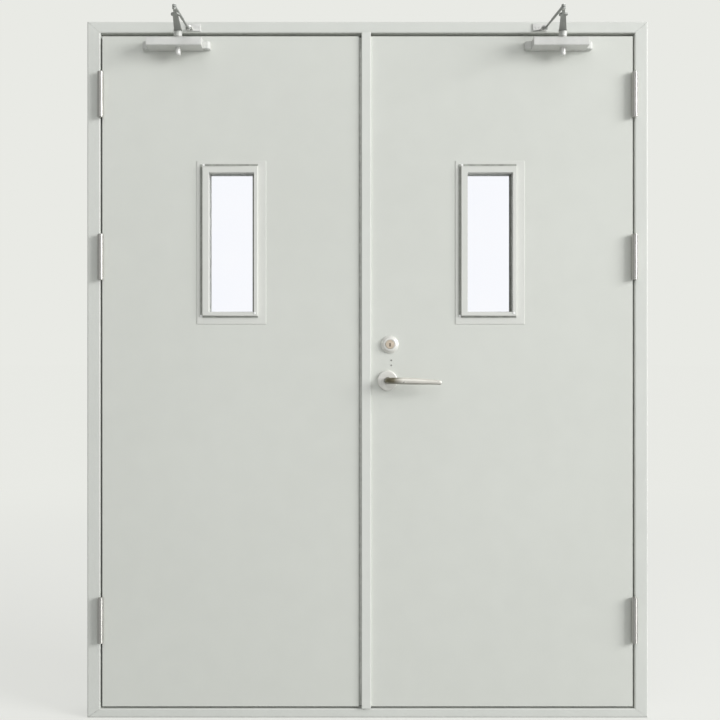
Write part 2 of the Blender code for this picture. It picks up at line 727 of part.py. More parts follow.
def build_shoe(prefix, side, shoe, paint):
    """Plate on the head, a lug over the forearm and the pivot pin below it."""
    name = prefix + "_closer_shoe"
    lug_low = FOREARM_Z + 0.0028 + RUNNING
    plate_x = sorted((shoe[0] + side * SHOE_PLATE_OUTER, shoe[0] - side * SHOE_PLATE_INNER))
    plate_z = (lug_low - 0.002, lug_low - 0.002 + SHOE_PLATE_HEIGHT)
    bm = bmesh.new()
    add_box(bm, plate_x, (FACE_Y - SEAT - SHOE_PLATE_THICKNESS, FACE_Y - SEAT), plate_z)
    plate = finish_object(name, bm, paint, smooth=True)
    lug = [(shoe[0] + LUG_RADIUS, FACE_Y - SEAT - 0.001), (shoe[0] - LUG_RADIUS, FACE_Y - SEAT - 0.001)]
    for i in range(9):
        angle = math.pi + math.pi * i / 8
        lug.append((shoe[0] + LUG_RADIUS * math.cos(angle), shoe[1] + LUG_RADIUS * math.sin(angle)))
    bm = bmesh.new()
    add_prism(bm, lug, lug_low, lug_low + LUG_THICKNESS, "z")
    join_shape(plate, name + "_lug", bm)
    low = FOREARM_Z - 0.0028 - RUNNING
    pin = [(0.0, low - 0.0016), (0.0046, low - 0.0016), (0.0052, low - 0.0008), (0.0052, low)]
    pin += [(SHOE_PIN, low), (SHOE_PIN, lug_low + 0.002), (0.0, lug_low + 0.002)]
    bm = bmesh.new()
    add_turned(bm, pin, shoe, 16, "z")
    join_shape(plate, name + "_pin", bm)


def build_closer(prefix, side, reaches, leaf_axis, paint, steel):
    """One closer; the reaches of spindle, elbow and shoe are measured from the hinge axis."""
    stands = (SPINDLE_STAND, ELBOW_STAND, SHOE_STAND)
    places = [(side * (HINGE_X - reach), FACE_Y - stand) for reach, stand in zip(reaches, stands)]
    spindle, elbow, shoe = places
    build_closer_body(prefix, side, spindle, leaf_axis, paint)
    build_main_arm(prefix, spindle, elbow, steel)
    build_forearm(prefix, shoe, elbow, steel)
    build_shoe(prefix, side, shoe, paint)


# Lever set and lock
def build_rose(name, parent, metal, centre, profile, bore, front):
    """Turned cover plate; the profile gives radius and height above the leaf."""
    face = FACE_Y if front else LEAF_BACK_Y
    turn = -1 if front else 1
    bm = bmesh.new()
    add_turned(bm, [(radius, face + turn * height) for radius, height in profile], centre, 32, "y")
    obj = finish_object(name, bm, metal, smooth=True)
    cut_round(obj, name + "_bore", centre, bore, face - 0.02, face + 0.02, "y", 24)
    hang(obj, parent)


def build_roses(label, parent, satin, warm, front):
    radius = LEVER_ROSE_RADIUS
    thick = ROSE_THICKNESS
    flat = [(0.0, SEAT), (radius, SEAT), (radius, thick - 0.0030), (radius - 0.0009, thick - 0.0009)]
    flat += [(radius - 0.0030, thick), (0.0, thick)]
    build_rose(label + "_lever_rose", parent, satin, (LEVER_X, LEVER_Z), flat, NECK_RADIUS + RUNNING, front)
    radius = CYLINDER_ROSE_RADIUS
    thick = CYLINDER_ROSE_THICKNESS
    cone = [(0.0, SEAT), (radius, SEAT), (radius, 0.0030), (radius - 0.0010, 0.0048)]
    cone += [(radius - 0.0070, thick - 0.0010), (radius - 0.0085, thick), (0.0, thick)]
    centre = (CYLINDER_X, CYLINDER_Z)
    build_rose(label + "_cylinder_rose", parent, warm, centre, cone, CYLINDER_RADIUS + SEAT, front)


def build_lever(name, parent, metal, front):
    """Round neck that turns into a full grip, which narrows and drops a little to its tip."""
    face = FACE_Y if front else LEAF_BACK_Y
    turn = -1 if front else 1
    grip = face + turn * LEVER_STAND
    start = face + turn * 0.0035
    path = [(LEVER_X, start, LEVER_Z), (LEVER_X, grip - turn * (LEVER_BEND + 0.006), LEVER_Z)]
    radii = [(NECK_RADIUS, NECK_RADIUS), (NECK_RADIUS, NECK_RADIUS)]
    for i in range(7):
        angle = math.pi / 2 * i / 6
        x = LEVER_X + LEVER_BEND * (1 - math.cos(angle))
        path.append((x, grip - turn * LEVER_BEND * (1 - math.sin(angle)), LEVER_Z))
        radii.append((NECK_RADIUS, NECK_RADIUS))
    steps = 10
    for i in range(1, steps + 1):
        part = i / steps
        x = LEVER_X + LEVER_BEND + (LEVER_REACH - LEVER_BEND) * part
        tall = NECK_RADIUS + (TIP_RADIUS - NECK_RADIUS) * part ** 2
        tall += (GRIP_RADIUS - NECK_RADIUS) * math.sin(math.pi * min(part / 0.8, 1.0))
        path.append((x, grip, LEVER_Z - TIP_DROP * part ** 2))
        radii.append((tall * (0.95 - 0.15 * part), tall))
    path.append((LEVER_X + LEVER_REACH + 0.0024, grip, LEVER_Z - TIP_DROP))
    radii.append((TIP_RADIUS * 0.5, TIP_RADIUS * 0.6))
    bm = bmesh.new()
    add_sweep(bm, path, radii, 20, (0, 0, 1))
    obj = finish_object(name, bm, metal, smooth=True)
    centre = (LEVER_X, LEVER_Z)
    if front:
        bm = bmesh.new()
        add_prism(bm, circle_points(centre, SPINDLE_BAR, 16), start - 0.003, LEAF_BACK_Y + 0.022, "y")
        join_shape(obj, name + "_spindle", bm)
    else:
        bore = SPINDLE_BAR + SEAT
        cut_round(obj, name + "_bore", centre, bore, LEAF_BACK_Y, LEAF_BACK_Y + 0.0225, "y", 16)
    hang(obj, parent)


def build_lock(parent, steel, brass):
    """Case between the sheets with its faceplate flush in the edge, and the round cylinder through it."""
    name = "lock_case"
    inner = RIGHT_FREE_EDGE + FACEPLATE_THICKNESS
    case_x = (inner - 0.001, RIGHT_FREE_EDGE + CASE_REACH)
    case_z = (FACEPLATE_Z[0] + CASE_INSET, FACEPLATE_Z[1] - CASE_INSET)
    half = CASE_THICKNESS / 2
    bm = bmesh.new()
    add_box(bm, case_x, (LEAF_MID_Y - half, LEAF_MID_Y + half), case_z)
    case = finish_object(name, bm, steel)
    half = FACEPLATE_WIDTH / 2
    bm = bmesh.new()
    add_box(bm, (RIGHT_FREE_EDGE, inner), (LEAF_MID_Y - half, LEAF_MID_Y + half), FACEPLATE_Z)
    join_shape(case, name + "_faceplate", bm)
    through = (FACE_Y, LEAF_BACK_Y)
    cut_round(case, name + "_follower", (LEVER_X, LEVER_Z), SPINDLE_BAR + SEAT, *through, "y", 16)
    centre = (CYLINDER_X, CYLINDER_Z)
    cut_round(case, name + "_cylinder", centre, CYLINDER_RADIUS + SEAT, *through, "y", 24)
    hang(case, parent)

    name = "lock_cylinder"
    low = FACE_Y - CYLINDER_ROSE_THICKNESS - CYLINDER_STAND
    high = LEAF_BACK_Y + CYLINDER_ROSE_THICKNESS + CYLINDER_STAND
    profile = [(0.0, low), (CYLINDER_RADIUS - 0.001, low), (CYLINDER_RADIUS, low + 0.001)]
    profile += [(CYLINDER_RADIUS, high - 0.001), (CYLINDER_RADIUS - 0.001, high), (0.0, high)]
    bm = bmesh.new()
    add_turned(bm, profile, centre, 24, "y")
    cylinder = finish_object(name, bm, brass, smooth=True)
    key_x = (CYLINDER_X - KEYWAY_WIDTH / 2, CYLINDER_X + KEYWAY_WIDTH / 2)
    key_z = (CYLINDER_Z - KEYWAY_HEIGHT * 0.65, CYLINDER_Z + KEYWAY_HEIGHT * 0.35)
    cut_box(cylinder, name + "_front_keyway", key_x, (low - 0.01, low + KEYWAY_DEPTH), key_z)
    cut_box(cylinder, name + "_back_keyway", key_x, (high - KEYWAY_DEPTH, high + 0.01), key_z)
    hang(cylinder, parent)


def build_strike(parent, steel):
    """Plate flush in the other leaf's edge, open for the latch and the bolt."""
    half = FACEPLATE_WIDTH / 2
    x_span = (LEFT_FREE_EDGE - FACEPLATE_THICKNESS, LEFT_FREE_EDGE)
    bm = bmesh.new()
    add_box(bm, x_span, (LEAF_MID_Y - half, LEAF_MID_Y + half), STRIKE_Z)
    plate = finish_object("strike_plate", bm, steel)
    for label, low, high in (("_latch", -0.019, 0.019), ("_bolt", 0.085, 0.133)):
        cut_x = (x_span[0] - 0.01, x_span[1] + 0.01)
        cut_y = (LEAF_MID_Y - 0.007, LEAF_MID_Y + 0.007)
        cut_box(plate, "strike_plate" + label, cut_x, cut_y, (LEVER_Z + low, LEVER_Z + high))
    hang(plate, parent)


def build_leaf(prefix, side, free_edge, panel_x, reaches, recess, holes, materials):
    leaf_axis = add_axis(prefix + "_leaf_axis", (side * HINGE_X, HINGE_Y, 0.0))
    x_span = sorted((free_edge, side * HINGE_EDGE))
    paint = materials["paint"]
    for label, front in (("_leaf_front_sheet", True), ("_leaf_back_sheet", False)):
        name = prefix + label
        build_sheet(name, leaf_axis, paint, x_span, panel_x, front, free_edge, recess, holes)
    build_glass(prefix + "_glass", leaf_axis, materials["glass"], panel_x)
    build_bezel(prefix + "_front_bezel", leaf_axis, paint, panel_x, True)
    build_bezel(prefix + "_back_bezel", leaf_axis, paint, panel_x, False)
    for label, z_centre in HINGE_HEIGHTS.items():
        build_hinge(prefix + "_" + label, side, z_centre, leaf_axis, materials["steel"])
    build_closer(prefix, side, reaches, leaf_axis, materials["silver"], materials["arm"])
    return leaf_axis


def build_all():
    clear_scene()
    materials = {
        "paint": make_material("paint", (0.66, 0.68, 0.64), 0.45, 0.0),
        "steel": make_material("steel", (0.66, 0.66, 0.64), 0.32, 1.0),
        "silver": make_material("silver", (0.62, 0.63, 0.60), 0.42, 0.0),
        "arm": make_material("arm", (0.45, 0.46, 0.44), 0.45, 0.3),
        "glass": make_material("glass", (0.92, 0.94, 0.98), 0.08, 0.0),
        "rubber": make_material("rubber", (0.06, 0.06, 0.06), 0.75, 0.0),
        "satin": make_material("satin", (0.60, 0.58, 0.53), 0.30, 1.0),
        "brass": make_material("brass", (0.70, 0.56, 0.28), 0.30, 1.0),
    }
    build_frame(materials["paint"])
    build_seal(materials["rubber"])
    panel_x = LEFT_FREE_EDGE - LEFT_PANEL_REACH
    reaches = (LEFT_SPINDLE_REACH, LEFT_ELBOW_REACH, LEFT_SHOE_REACH)
    left = build_leaf("left", -1, LEFT_FREE_EDGE, panel_x, reaches, STRIKE_Z, [], materials)
    build_strike(left, materials["steel"])
    holes = [("_follower", (LEVER_X, LEVER_Z), NECK_RADIUS)]
    holes.append(("_cylinder", (CYLINDER_X, CYLINDER_Z), CYLINDER_RADIUS + SEAT))
    panel_x = RIGHT_FREE_EDGE + RIGHT_PANEL_REACH
    reaches = (RIGHT_SPINDLE_REACH, RIGHT_ELBOW_REACH, RIGHT_SHOE_REACH)
    right = build_leaf("right", 1, RIGHT_FREE_EDGE, panel_x, reaches, FACEPLATE_Z, holes, materials)
    build_meeting_strip(right, materials["paint"])
    build_lock(right, materials["steel"], materials["brass"])
    lever_axis = add_axis("lever_axis", (LEVER_X, FACE_Y, LEVER_Z))
    for label, front in (("front", True), ("back", False)):
        build_roses(label, right, materials["satin"], materials["brass"], front)
        build_lever(label + "_lever", lever_axis, materials["satin"], front)


build_all()
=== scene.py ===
import json
import math

import bmesh
import bpy
from mathutils import Matrix, Vector

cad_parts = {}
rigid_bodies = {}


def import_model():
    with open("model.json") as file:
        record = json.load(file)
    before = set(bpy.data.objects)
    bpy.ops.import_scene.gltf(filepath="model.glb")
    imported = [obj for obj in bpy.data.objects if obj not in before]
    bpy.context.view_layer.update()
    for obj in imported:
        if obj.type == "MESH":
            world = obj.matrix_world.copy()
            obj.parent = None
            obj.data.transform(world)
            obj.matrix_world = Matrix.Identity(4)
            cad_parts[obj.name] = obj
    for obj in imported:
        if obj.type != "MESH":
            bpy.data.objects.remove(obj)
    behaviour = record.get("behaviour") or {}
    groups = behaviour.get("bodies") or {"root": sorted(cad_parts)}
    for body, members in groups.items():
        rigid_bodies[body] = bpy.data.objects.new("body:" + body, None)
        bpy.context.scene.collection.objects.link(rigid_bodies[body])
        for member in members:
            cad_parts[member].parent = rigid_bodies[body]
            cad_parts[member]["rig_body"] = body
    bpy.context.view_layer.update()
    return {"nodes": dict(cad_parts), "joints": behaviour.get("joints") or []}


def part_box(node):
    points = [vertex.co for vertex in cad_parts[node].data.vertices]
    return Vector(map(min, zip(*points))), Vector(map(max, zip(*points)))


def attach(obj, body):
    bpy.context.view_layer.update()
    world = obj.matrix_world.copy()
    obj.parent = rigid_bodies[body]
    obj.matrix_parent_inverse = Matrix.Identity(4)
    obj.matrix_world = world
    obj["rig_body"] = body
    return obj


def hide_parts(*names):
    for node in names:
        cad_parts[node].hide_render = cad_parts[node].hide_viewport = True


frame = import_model()


# Folded frame
# Four lengths of 2 mm sheet steel, folded to a rebated section, mitred, welded at the corners and
# powder coated in one pale grey with the leaves. The weld is ground flush, so only a faint line shows.
class Value:
    """An output of a shader node that takes part in ordinary sums."""

    def __init__(self, look, socket):
        self.look = look
        self.socket = socket

    def worked(self, operation, first, second):
        return self.look.node("ShaderNodeMath", {"operation": operation}, {0: first, 1: second})

    def __add__(self, other):
        return self.worked("ADD", self, other)

    def __radd__(self, other):
        return self.worked("ADD", other, self)

    def __sub__(self, other):
        return self.worked("SUBTRACT", self, other)

    def __rsub__(self, other):
        return self.worked("SUBTRACT", other, self)

    def __mul__(self, other):
        return self.worked("MULTIPLY", self, other)

    def __rmul__(self, other):
        return self.worked("MULTIPLY", other, self)

    def __pow__(self, other):
        return self.worked("POWER", self, other)


class Look:
    """One finish: its material, its surface shader and the nodes that vary it."""

    def __init__(self, name, owner=None):
        self.material = owner or bpy.data.materials.new(name)
        self.material.use_nodes = True
        self.tree = self.material.node_tree
        self.tree.nodes.clear()

    def node(self, kind, settings=None, sockets=None, out=0):
        made = self.tree.nodes.new(kind)
        for key, value in (settings or {}).items():
            if key == "stops":
                ramp = made.color_ramp
                while len(ramp.elements) < len(value):
                    ramp.elements.new(0.5)
                for element, (place, level) in zip(ramp.elements, value):
                    element.position = place
                    element.color = (level, level, level, 1.0)
            else:
                setattr(made, key, value)
        for key, value in (sockets or {}).items():
            if isinstance(value, Value):
                self.tree.links.new(value.socket, made.inputs[key])
            else:
                made.inputs[key].default_value = value
        return Value(self, made.outputs[out]) if made.outputs else None

    def place(self):
        return self.node("ShaderNodeTexCoord", out="Object")

    def part(self, vector, axis):
        """One of the three numbers of a place or a direction."""
        return self.node("ShaderNodeSeparateXYZ", None, {0: vector}, out=axis)

    def noise(self, scale, detail=3.0, stretch=(1, 1, 1)):
        where = self.place()
        if stretch != (1, 1, 1):
            where = self.node("ShaderNodeMapping", None, {"Vector": where, "Scale": stretch})
        return self.node("ShaderNodeTexNoise", None, {"Vector": where, "Scale": scale, "Detail": detail})

    def ramp(self, value, stops):
        return self.node("ShaderNodeValToRGB", {"stops": stops}, {0: value})

    def mix(self, factor, first, second):
        return self.node("ShaderNodeMix", {"data_type": "RGBA"}, {0: factor, 6: first, 7: second}, out=2)

    def edge(self, radius):
        """The direction rounded off at edges, and a value that is near one along an edge only."""
        soft = self.node("ShaderNodeBevel", {"samples": 4}, {"Radius": radius})
        true = self.node("ShaderNodeNewGeometry", out="Normal")
        meet = self.node("ShaderNodeVectorMath", {"operation": "DOT_PRODUCT"}, {0: soft, 1: true}, out=1)
        return soft, 1.0 - meet

    def bump(self, height, distance, under=None):
        sockets = {"Height": height, "Distance": distance, "Strength": 1.0}
        if under is not None:
            sockets["Normal"] = under
        return self.node("ShaderNodeBump", None, sockets)

    def surface(self, **sockets):
        """The surface shader; underscores in the names stand for spaces."""
        named = {key.replace("_", " "): value for key, value in sockets.items()}
        shader = self.node("ShaderNodeBsdfPrincipled", None, named)
        self.node("ShaderNodeOutputMaterial", None, {"Surface": shader})
        return self.material


def shade(red, green, blue):
    """A colour as it is read off a screen, turned into the light it stands for."""
    return tuple(((c / 255 + 0.055) / 1.055) ** 2.4 for c in (red, green, blue)) + (1.0,)


def times(colour, factor):
    """A darker or paler colour, never brighter than a surface can be."""
    return tuple(min(1.0, c * factor) for c in colour[:3]) + (1.0,)


def powder_coat(name, colour, dusty, roughness=0.42, radius=0.0014, edge_wear_and_shade=1.09, gloss=0.42):
    """Baked powder coat: a fine orange peel, slow drifts of tone, a little dust, and edges toned by a factor:
    above one they are paler with wear, below one they carry painted shade.
    """
    look = Look(name)
    drift = look.noise(0.9, 2.0)
    cloud = look.noise(14.0, 4.0)
    tone = look.mix(look.ramp(drift * 0.7 + cloud * 0.3, ((0.38, 0.0), (0.62, 1.0))), dusty, colour)
    soft, edge = look.edge(radius)
    tone = look.mix(look.ramp(edge, ((0.02, 0.0), (0.22, 0.55))), tone, times(colour, edge_wear_and_shade))
    peel = look.noise(620.0, 2.0)
    normal = look.bump(peel, 0.000035, soft)
    rough = roughness - 0.05 + 0.10 * cloud
    return look.surface(Base_Color=tone, Roughness=rough, Normal=normal, Specular_IOR_Level=gloss)


def dress(names, material):
    """Give CAD nodes that stay as they are their finish."""
    for name in names:
        node = frame["nodes"][name]
        node.data.materials.clear()
        node.data.materials.append(material)


frame_coat = powder_coat("frame_powder_coat", shade(219, 221, 216), shade(214, 216, 211))
dress(["left_jamb", "right_jamb", "head", "sill"], frame_coat)


# Frame seal
# A strip of pale grey foamed rubber that swells in heat, stuck to the stops all round the opening.
def rubber(name, colour):
    """Matt rubber or sealant with fine pale flecks."""
    look = Look(name)
    fleck = look.noise(1600.0, 3.0)
    cloud = look.noise(60.0, 3.0)
    pale = tuple(min(1.0, c * 1.6 + 0.01) for c in colour[:3]) + (1.0,)
    tone = look.mix(look.ramp(fleck * 0.6 + cloud * 0.4, ((0.42, 0.0), (0.66, 1.0))), colour, pale)
    return look.surface(Base_Color=tone, Roughness=0.72 + 0.14 * cloud, Normal=look.bump(fleck, 0.00012))


dress(["frame_seal"], rubber("seal_rubber", shade(165, 167, 161)))


# Leaves
# Each leaf is two trays of 1.5 mm sheet round a mineral wool core, folded at the edges, welded and
# powder coated. The rolled face has the slightest unevenness where it is bonded to the core.
leaf_coat = powder_coat("leaf_powder_coat", shade(219, 221, 215), shade(215, 217, 211))
sheets = [side + "_leaf_" + face + "_sheet" for side in ("left", "right") for face in ("front", "back")]
dress(sheets, leaf_coat)


# Refined metalwork
# The fittings are cast, turned or cropped parts with edges broken by tumbling, so each gets its
# edges rounded over and its round faces shaded smooth.
def deselect():
    """Leave edit mode with nothing selected."""
    if bpy.context.mode != "OBJECT":
        bpy.ops.object.mode_set(mode="OBJECT")
    bpy.ops.object.select_all(action="DESELECT")


def only(piece):
    """Make this the one selected and active piece."""
    deselect()
    piece.select_set(True)
    bpy.context.view_layer.objects.active = piece


def round_over(piece, width, steps, angle):
    """Round the edges at which the faces of the active piece turn by more than an angle."""
    bevel = piece.modifiers.new("edges", "BEVEL")
    bevel.width = width
    bevel.segments = steps
    bevel.limit_method = "ANGLE"
    bevel.angle_limit = math.radians(angle)
    bevel.use_clamp_overlap = True
    bpy.ops.object.modifier_apply(modifier="edges")


def even_out(piece):
    """Shade curves smooth and let the large faces keep their own direction beside rounded edges."""
    only(piece)
    bpy.ops.object.shade_smooth_by_angle(angle=math.radians(38))
    keep = piece.modifiers.new("even", "WEIGHTED_NORMAL")
    keep.mode = "FACE_AREA"
    keep.weight = 90
    keep.keep_sharp = True
    bpy.ops.object.modifier_apply(modifier="even")


def refine(name, material, radius, steps=2, angle=32):
    """A merged copy of a node with its edges rounded, standing for the node on the same body."""
    node = frame["nodes"][name]
    piece = bpy.data.objects.new(name + "_finished", node.data.copy())
    bpy.context.scene.collection.objects.link(piece)
    only(piece)
    bpy.ops.object.mode_set(mode="EDIT")
    bpy.ops.mesh.select_all(action="SELECT")
    bpy.ops.mesh.remove_doubles(threshold=0.00002)
    bpy.ops.mesh.dissolve_limited(angle_limit=math.radians(0.5))
    bpy.ops.mesh.normals_make_consistent(inside=False)
    bpy.ops.object.mode_set(mode="OBJECT")
    if piece.data.has_custom_normals:
        bpy.ops.mesh.customdata_custom_splitnormals_clear()
    if radius:
        round_over(piece, radius, steps, angle)
    even_out(piece)
    piece.data.materials.clear()
    piece.data.materials.append(material)
    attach(piece, node["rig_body"])
    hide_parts(name)
    return piece


# Vision panels
# A clear fire glass pane in grey gaskets, held by a pressed steel frame on each face that is clipped
# into the cut-out and coated with the leaf. Sealant runs beside it, and pale plugs cover its fixings;
# the sealant and a dark lip on the gasket also stand as painted shadow lines.
PANEL_WIDTH = 0.135
PANEL_HEIGHT = 0.4187
BEAD_WIDTH = 0.020
BEAD_NARROW = 0.012
# Each soft shoulder of a bead: distance from the edge, height, new distance, and how far it rises.
SHOULDERS = ((0.0022, 0.0084, 0.0006, 0.0009), (0.0055, 0.0098, 0.0015, 0.0))
SAME_PLACE = 0.0005
# Heights over the skin of the leaf: the step beside the bead, and the bead.
STEP_HEIGHT = 0.0020
BEAD_HEIGHT = 0.0099
# Gasket and the dark lip that stands as a painted shadow, measured in from the sight line and out from the
# pane.
GASKET_EASE = 0.0002
GASKET_WALL = 0.0014
GASKET_DEPTH = (0.0004, 0.0058)
LIP_SPAN = (0.0052, 0.0016)
LIP_SHORT = 0.0018
# Sealant joint, which also stands as a painted shadow line, and where each of its runs starts beside a corner
# of the bead.
JOINT_WIDTH = 0.0060
JOINT_GAP = 0.0012
JOINT_DEPTH = (-0.0004, 0.0014)
LEFT_RUN_START = 0.004
TOP_RUN_START = 0.0075
LOW_RUN_START = 0.0005
LOW_RUN_GAP = 0.0001
PLUG_RADIUS = 0.0034
PLUG_HEIGHT = 0.0016
# Plug places beside three corners of the bead, sideways and upwards.
PLUG_TOP_LEFT = (0.0030, 0.0042)
PLUG_LOW_LEFT = (-0.0040, 0.0002)
PLUG_LOW_RIGHT = (0.0032, -0.0040)


def fire_glass(name):
    """Clear glass with a trace of haze and ripple."""
    look = Look(name)
    haze = look.noise(7.0, 4.0)
    clear, cool = (0.99, 0.995, 1.0, 1.0), (0.975, 0.985, 1.0, 1.0)
    tint = look.mix(look.ramp(haze, ((0.35, 0.0), (0.7, 1.0))), cool, clear)
    normal = look.bump(look.noise(9.0, 1.0), 0.00004)
    rough = look.ramp(haze, ((0.4, 0.0), (0.75, 0.02)))
    return look.surface(Base_Color=tint, Roughness=rough, Normal=normal, Transmission_Weight=1.0, IOR=1.45)


def bar(low, high):
    """A squared bar between two corners, as a start for a strip or a plate."""
    low, high = Vector(low), Vector(high)
    deselect()
    bpy.ops.mesh.primitive_cube_add(size=1.0, location=(low + high) / 2)
    piece = bpy.context.object
    piece.scale = high - low
    bpy.ops.object.transform_apply(location=True, rotation=True, scale=True)
    return piece


def carve(piece, cutter):
    """Cut one piece with another, which is then thrown away."""
    only(piece)
    cut = piece.modifiers.new("cut", "BOOLEAN")
    cut.operation = "DIFFERENCE"
    cut.object = cutter
    cut.solver = "EXACT"
    bpy.ops.object.modifier_apply(modifier="cut")
    bpy.data.objects.remove(cutter)


def rounded(piece, width, steps=2):
    """Round over the edges of a new piece and shade it."""
    only(piece)
    round_over(piece, width, steps, 30)
    even_out(piece)


def settle(piece, name, material, body):
    """Name a finished piece, give it its finish and let it ride on its body."""
    only(piece)
    bpy.ops.object.transform_apply(location=True, rotation=True, scale=True)
    piece.name = name
    piece.data.name = name
    piece.data.materials.clear()
    piece.data.materials.append(material)
    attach(piece, body)


def pick_faces(piece, test):
    """In edit mode, select just the faces whose middle and direction pass the test."""
    only(piece)
    bpy.ops.object.mode_set(mode="EDIT")
    bpy.ops.mesh.select_mode(type="FACE")
    bpy.ops.mesh.select_all(action="DESELECT")
    mesh = bmesh.from_edit_mesh(piece.data)
    for face in mesh.faces:
        face.select_set(bool(test(face.calc_center_median(), face.normal)))
    bmesh.update_edit_mesh(piece.data)


def facing(place, face):
    """The move that takes what lies face up at the origin to a place, turned to face a direction."""
    return Matrix.Translation(place) @ Vector(face).to_track_quat("Z", "Y").to_matrix().to_4x4()


def domed_rivet(radius, height, place=(0, 0, 0), face=(0, 0, 1)):
    """A low domed head standing on a plane: a short cylinder, inset and drawn up twice."""
    deselect()
    bpy.ops.mesh.primitive_cylinder_add(vertices=24, radius=radius, depth=height * 0.5)
    piece = bpy.context.object
    for inset, lift in ((radius * 0.18, height * 0.28), (radius * 0.35, height * 0.17)):
        top = max(v.co.z for v in piece.data.vertices)
        pick_faces(piece, lambda middle, normal: normal.z > 0.9 and middle.z > top - 1e-6)
        bpy.ops.mesh.inset(thickness=inset)
        bpy.ops.transform.translate(value=(0, 0, lift))
    bpy.ops.object.mode_set(mode="OBJECT")
    piece.data.transform(Matrix.Translation((0, 0, height * 0.25)))
    piece.data.transform(facing(place, face))
    even_out(piece)
    return piece


def square_up(piece, middle, bead_x, bead_z, skin, out):
    """Draw the two soft shoulders of each bead out to a squarer fold, corner by corner."""
    for sx, sz in ((-1, -1), (1, -1), (1, 1), (-1, 1)):
        wide_x, wide_z = bead_x[sx > 0], bead_z[sz > 0]
        for shoulder, depth, reach, rise in SHOULDERS:
            for inner in (True, False):
                old_x = shoulder if inner else wide_x - shoulder
                old_z = shoulder if inner else wide_z - shoulder
                step = (shoulder - reach) * (-1 if inner else 1)
                place = Vector((middle.x + sx * (PANEL_WIDTH / 2 + old_x), skin + out * depth,
                                middle.z + sz * (PANEL_HEIGHT / 2 + old_z)))
                only(piece)
                bpy.ops.object.mode_set(mode="EDIT")
                bpy.ops.mesh.select_mode(type="VERT")
                bpy.ops.mesh.select_all(action="DESELECT")
                mesh = bmesh.from_edit_mesh(piece.data)
                for vertex in mesh.verts:
                    vertex.select_set((vertex.co - place).length < SAME_PLACE)
                mesh.select_flush_mode()
                bmesh.update_edit_mesh(piece.data)
                bpy.ops.transform.translate(value=(sx * step, out * rise, sz * step))
    even_out(piece)


bezel_coat = powder_coat("bezel_powder_coat", shade(221, 222, 217), shade(217, 218, 213),
                         roughness=0.46, radius=0.0008, edge_wear_and_shade=1.05, gloss=0.3)
glass = fire_glass("fire_glass")
joint_grey_and_shadow = rubber("joint_sealant_and_shadow", shade(148, 150, 144))
shadow_lip_rubber = rubber("dark_rubber_painted_shadow", shade(112, 114, 108))
gasket_pale = rubber("gasket_silicone", shade(190, 192, 188))
plug_white = powder_coat("corner_plug_moulding", shade(250, 250, 249), shade(246, 246, 245),
                         roughness=0.35, radius=0.0006)
for side in ("left", "right"):
    body = side + "_leaf"
    dress([side + "_glass"], glass)
    for face, outer, out in (("front", 0, -1.0), ("back", 1, 1.0)):
        bezel = side + "_" + face + "_bezel"
        trim = refine(bezel, bezel_coat, 0.0)
        low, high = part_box(bezel)
        middle = Vector(((low.x + high.x) / 2, 0.0, (low.z + high.z) / 2))
        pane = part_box(side + "_glass")[outer].y
        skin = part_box(side + "_leaf_" + face + "_sheet")[outer].y
        square_up(trim, middle, (BEAD_WIDTH, BEAD_NARROW), (BEAD_NARROW, BEAD_WIDTH), skin, out)
        sight_left, sight_right = middle.x - PANEL_WIDTH / 2, middle.x + PANEL_WIDTH / 2
        sight_low, sight_top = middle.z - PANEL_HEIGHT / 2, middle.z + PANEL_HEIGHT / 2

        # Pale gasket round the sight line, and a dark lip along its right side as a painted shadow beside the
        # bead.
        near, far = sorted(pane + out * depth for depth in GASKET_DEPTH)
        gasket = bar((sight_left + GASKET_EASE, near, sight_low + GASKET_EASE),
                     (sight_right - GASKET_EASE, far, sight_top - GASKET_EASE))
        carve(gasket, bar((sight_left + GASKET_WALL, near - 0.01, sight_low + GASKET_WALL),
                          (sight_right - GASKET_WALL, far + 0.01, sight_top - GASKET_WALL)))
        rounded(gasket, 0.0004, steps=1)
        settle(gasket, bezel + "_gasket", gasket_pale, body)
        lip = bar((sight_right - LIP_SPAN[0], near, sight_low + LIP_SHORT),
                  (sight_right - LIP_SPAN[1], far, sight_top - LIP_SHORT))
        rounded(lip, 0.0006)
        settle(lip, bezel + "_gasket_lip", shadow_lip_rubber, body)

        # Grey sealant joint along three outer edges of the bead, also a painted shadow line there.
        left, right = sight_left - BEAD_WIDTH, sight_right + BEAD_NARROW
        foot, top = sight_low - BEAD_NARROW, sight_top + BEAD_WIDTH
        surface = skin + out * STEP_HEIGHT
        near, far = sorted(surface + out * depth for depth in JOINT_DEPTH)
        for label, start, end in (
            ("left", (left - JOINT_GAP - JOINT_WIDTH, foot + LEFT_RUN_START),
             (left - JOINT_GAP, top + JOINT_WIDTH)),
            ("top", (left + TOP_RUN_START, top + JOINT_GAP), (right, top + JOINT_GAP + JOINT_WIDTH)),
            ("low", (left + LOW_RUN_START, foot - JOINT_WIDTH), (right, foot - LOW_RUN_GAP)),
        ):
            joint = bar((start[0], near, start[1]), (end[0], far, end[1]))
            rounded(joint, 0.0006)
            settle(joint, bezel + "_" + label + "_joint", joint_grey_and_shadow, body)

        # Pale plugs over the fixings: two on the step beside the bead and one on the bead itself.
        plugs = ((left, surface, top, PLUG_TOP_LEFT), (left, surface, foot, PLUG_LOW_LEFT),
                 (sight_right, skin + out * BEAD_HEIGHT, sight_low, PLUG_LOW_RIGHT))
        for number, (x, y, z, (aside, rise)) in enumerate(plugs):
            plug = domed_rivet(PLUG_RADIUS, PLUG_HEIGHT, (x + aside, y, z + rise), (0, out, 0))
            settle(plug, bezel + "_corner_plug_" + str(number + 1), plug_white, body)


